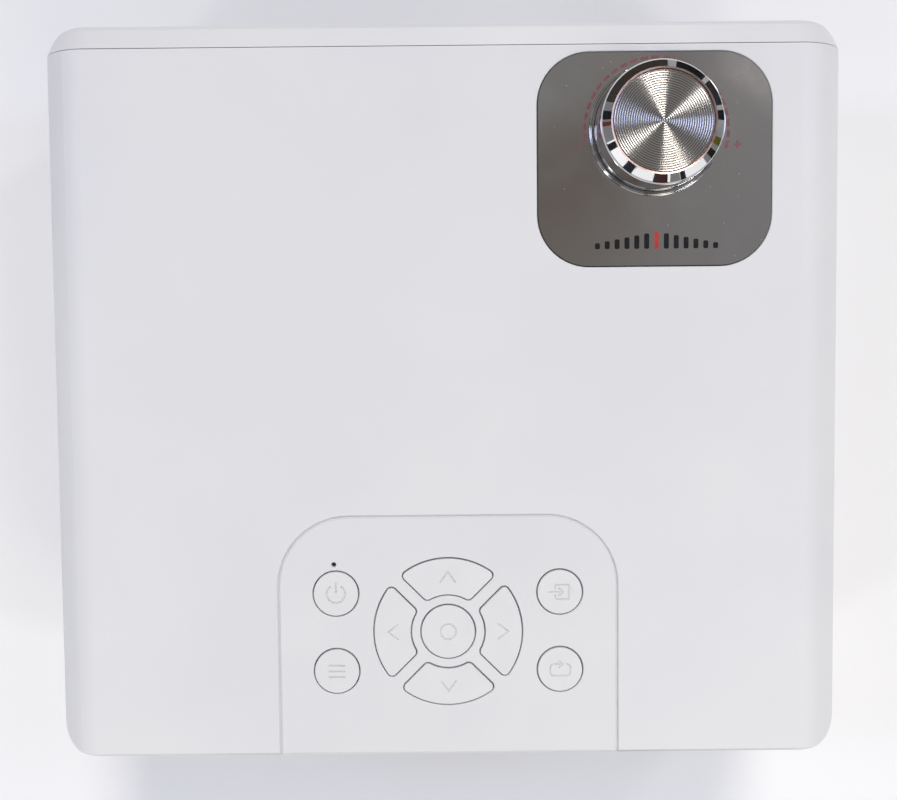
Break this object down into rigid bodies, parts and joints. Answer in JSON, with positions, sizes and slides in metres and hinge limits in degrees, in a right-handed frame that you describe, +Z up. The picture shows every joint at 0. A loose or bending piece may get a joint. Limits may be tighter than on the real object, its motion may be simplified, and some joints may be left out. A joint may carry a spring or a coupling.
{
  "type": "home projector",
  "caption": "Box-shaped home projector with a recessed lens, a top focus knob, a key panel and rear sockets.",
  "frame": {"origin": "on the table under the middle of the case", "axes": "+X along the width (to the right as seen from the front, lens at -X), -Y out of the lens, +Z up"},
  "size_m": [0.22, 0.2, 0.1024],
  "materials": {
    "white_shell": "fine matt white",
    "white_keypad": "fine matt white",
    "white_keys": "satin white",
    "focus_plate_mirror": "smoked mirror",
    "knob_chrome": "polished",
    "spun_aluminium": "turned in fine rings",
    "trim_silver": "satin",
    "black_abs": "matt black",
    "grille_black": "satin black",
    "ir_smoke": "gloss dark red",
    "rear_panel_black": "fine matt",
    "steel": "turned",
    "brass": "turned",
    "acetal": "natural",
    "lens_glass": "coated",
    "mirror_glass": "front silvered",
    "acrylic": "fine ringed",
    "lcd": "gloss",
    "circuit_board": "solder resist",
    "aluminium": "extruded",
    "fan_black": "matt",
    "port_steel": "plated",
    "switch_plastic": "matt",
    "screw_steel": "black zinc",
    "foot_rubber": "matt",
    "wheel_plastic": "matt",
    "paper_cone": "matt",
    "lead_pvc": "satin"
  },
  "bodies": {
    "case": {"top_cover": "white_shell", "bottom_case": "white_shell", "front_bezel": "white_shell", "front_grille": "grille_black", "lens_trim_ring": "trim_silver", "ir_window": "ir_smoke", "rear_panel": "rear_panel_black", "keypad_panel": "white_keypad", "keypad_board": "circuit_board", "tact_switches": "switch_plastic", "focus_plate": "focus_plate_mirror", "knob_seat_ring": "knob_chrome", "knob_bush": "brass", "lens_guide": "black_abs", "optical_box": "black_abs", "optical_lid": "black_abs", "folding_mirror": "mirror_glass", "field_fresnel": "acrylic", "lcd_panel": "lcd", "collimating_fresnel": "acrylic", "heat_glass": "acrylic", "condenser_lens": "lens_glass", "led_module": "aluminium", "heatsink": "aluminium", "fan_frames": "fan_black", "main_board": "circuit_board", "signal_ports": "port_steel", "audio_jacks": "black_abs", "power_inlet": "black_abs", "power_supply": "circuit_board", "speakers": "paper_cone", "wiring": "lead_pvc", "case_screws": "screw_steel", "board_screws": "screw_steel", "rubber_feet": "foot_rubber", "brass_inserts": "brass"},
    "focus_knob": {"focus_knob": "knob_chrome", "knob_disc": "spun_aluminium", "knob_shaft": "steel", "focus_pinion": "acetal", "shaft_clip": "steel"},
    "lens": {"lens_barrel": "black_abs", "focus_rack": "acetal", "front_lens": "lens_glass", "middle_lens": "lens_glass", "rear_lens": "lens_glass", "lens_rings": "black_abs"},
    "exhaust_rotor": {"exhaust_fan_rotor": "fan_black"},
    "lcd_rotor": {"lcd_fan_rotor": "fan_black"},
    "foot_pad": {"foot_pad": "foot_rubber"},
    "foot_wheel": {"foot_wheel": "wheel_plastic"},
    "key_power": {"button_power": "white_keys"},
    "key_menu": {"button_menu": "white_keys"},
    "key_source": {"button_source": "white_keys"},
    "key_return": {"button_return": "white_keys"},
    "key_ok": {"button_ok": "white_keys"},
    "key_up": {"button_up": "white_keys"},
    "key_down": {"button_down": "white_keys"},
    "key_left": {"button_left": "white_keys"},
    "key_right": {"button_right": "white_keys"}
  },
  "joints": [
    {"name": "focus_knob_turn", "type": "hinge", "parent": "case", "child": "focus_knob", "pos_m": [-0.0568, -0.0705, 0.09], "axis": [0, 0, 1], "range_deg": [-90, 90]},
    {"name": "lens_focus_slide", "type": "slide", "parent": "case", "child": "lens", "axis": [0, 1, 0], "range_m": [-0.0066, 0.0066]},
    {"name": "press_power", "type": "slide", "parent": "case", "child": "key_power", "axis": [0, 0, -1], "range_m": [0, 0.0004], "stiffness_N_per_m": 600, "springref_m": -0.0015},
    {"name": "press_menu", "type": "slide", "parent": "case", "child": "key_menu", "axis": [0, 0, -1], "range_m": [0, 0.0004], "stiffness_N_per_m": 600, "springref_m": -0.0015},
    {"name": "press_source", "type": "slide", "parent": "case", "child": "key_source", "axis": [0, 0, -1], "range_m": [0, 0.0004], "stiffness_N_per_m": 600, "springref_m": -0.0015},
    {"name": "press_return", "type": "slide", "parent": "case", "child": "key_return", "axis": [0, 0, -1], "range_m": [0, 0.0004], "stiffness_N_per_m": 600, "springref_m": -0.0015},
    {"name": "press_ok", "type": "slide", "parent": "case", "child": "key_ok", "axis": [0, 0, -1], "range_m": [0, 0.0004], "stiffness_N_per_m": 600, "springref_m": -0.0015},
    {"name": "press_up", "type": "slide", "parent": "case", "child": "key_up", "axis": [0, 0, -1], "range_m": [0, 0.0004], "stiffness_N_per_m": 600, "springref_m": -0.0015},
    {"name": "press_down", "type": "slide", "parent": "case", "child": "key_down", "axis": [0, 0, -1], "range_m": [0, 0.0004], "stiffness_N_per_m": 600, "springref_m": -0.0015},
    {"name": "press_left", "type": "slide", "parent": "case", "child": "key_left", "axis": [0, 0, -1], "range_m": [0, 0.0004], "stiffness_N_per_m": 600, "springref_m": -0.0015},
    {"name": "press_right", "type": "slide", "parent": "case", "child": "key_right", "axis": [0, 0, -1], "range_m": [0, 0.0004], "stiffness_N_per_m": 600, "springref_m": -0.0015},
    {"name": "exhaust_fan_spin", "type": "hinge", "parent": "case", "child": "exhaust_rotor", "pos_m": [0.097, -0.001, 0.044], "axis": [1, 0, 0], "continuous": true},
    {"name": "lcd_fan_spin", "type": "hinge", "parent": "case", "child": "lcd_rotor", "pos_m": [-0.002, 0.053, 0.044], "axis": [0, 1, 0], "continuous": true},
    {"name": "foot_extend", "type": "slide", "parent": "case", "child": "foot_pad", "axis": [0, 0, -1], "range_m": [0, 0.012]},
    {"name": "foot_wheel_turn", "type": "hinge", "parent": "foot_pad", "child": "foot_wheel", "pos_m": [0, -0.072, 0], "axis": [0, 0, 1], "range_deg": [0, 2172]}
  ],
  "couplings": [
    {"joint": "focus_knob_turn", "follows": "lens_focus_slide", "rad_per_m": 238.1},
    {"joint": "foot_wheel_turn", "follows": "foot_extend", "rad_per_m": 3141.6}
  ]
}
